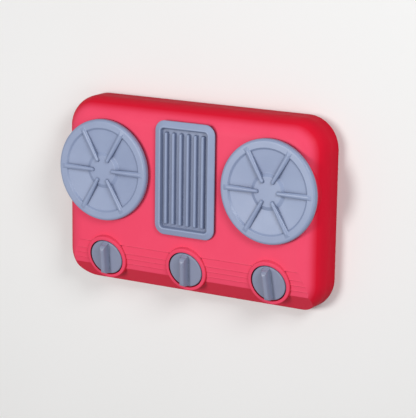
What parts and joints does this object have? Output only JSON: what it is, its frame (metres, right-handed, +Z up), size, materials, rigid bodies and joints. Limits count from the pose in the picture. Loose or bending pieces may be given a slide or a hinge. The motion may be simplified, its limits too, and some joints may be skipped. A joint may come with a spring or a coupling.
{
  "type": "toy hob",
  "caption": "Toy kitchen hob: hollow housing with round burner plates, a ribbed grill plate and turning knobs on a sloped, stepped front panel.",
  "frame": {"origin": "on the ground, under the middle of the housing", "axes": "+X to the right and along the width, +Y to the back, away from the knobs, +Z up"},
  "size_m": [0.346, 0.227, 0.0587],
  "materials": {
    "red_plastic": "moulded, satin gloss",
    "grey_plastic": "moulded, satin",
    "steel": "zinc plated"
  },
  "bodies": {
    "housing": {"body_shell": "red_plastic", "burner_left": "grey_plastic", "burner_right": "grey_plastic", "burner_screws_left": "steel", "burner_screws_right": "steel", "grill_plate": "grey_plastic", "grill_screws": "steel"},
    "dial_left": {"knob_left": "grey_plastic", "knob_washer_left": "steel", "knob_screw_left": "steel"},
    "dial_centre": {"knob_centre": "grey_plastic", "knob_washer_centre": "steel", "knob_screw_centre": "steel"},
    "dial_right": {"knob_right": "grey_plastic", "knob_washer_right": "steel", "knob_screw_right": "steel"}
  },
  "joints": [
    {"name": "knob_left_turn", "type": "hinge", "parent": "housing", "child": "dial_left", "pos_m": [-0.1108, -0.0793, 0.0454], "axis": [0, -0.225, 0.9744], "continuous": true},
    {"name": "knob_centre_turn", "type": "hinge", "parent": "housing", "child": "dial_centre", "pos_m": [0, -0.0793, 0.0454], "axis": [0, -0.225, 0.9744], "continuous": true},
    {"name": "knob_right_turn", "type": "hinge", "parent": "housing", "child": "dial_right", "pos_m": [0.1108, -0.0793, 0.0454], "axis": [0, -0.225, 0.9744], "continuous": true}
  ]
}
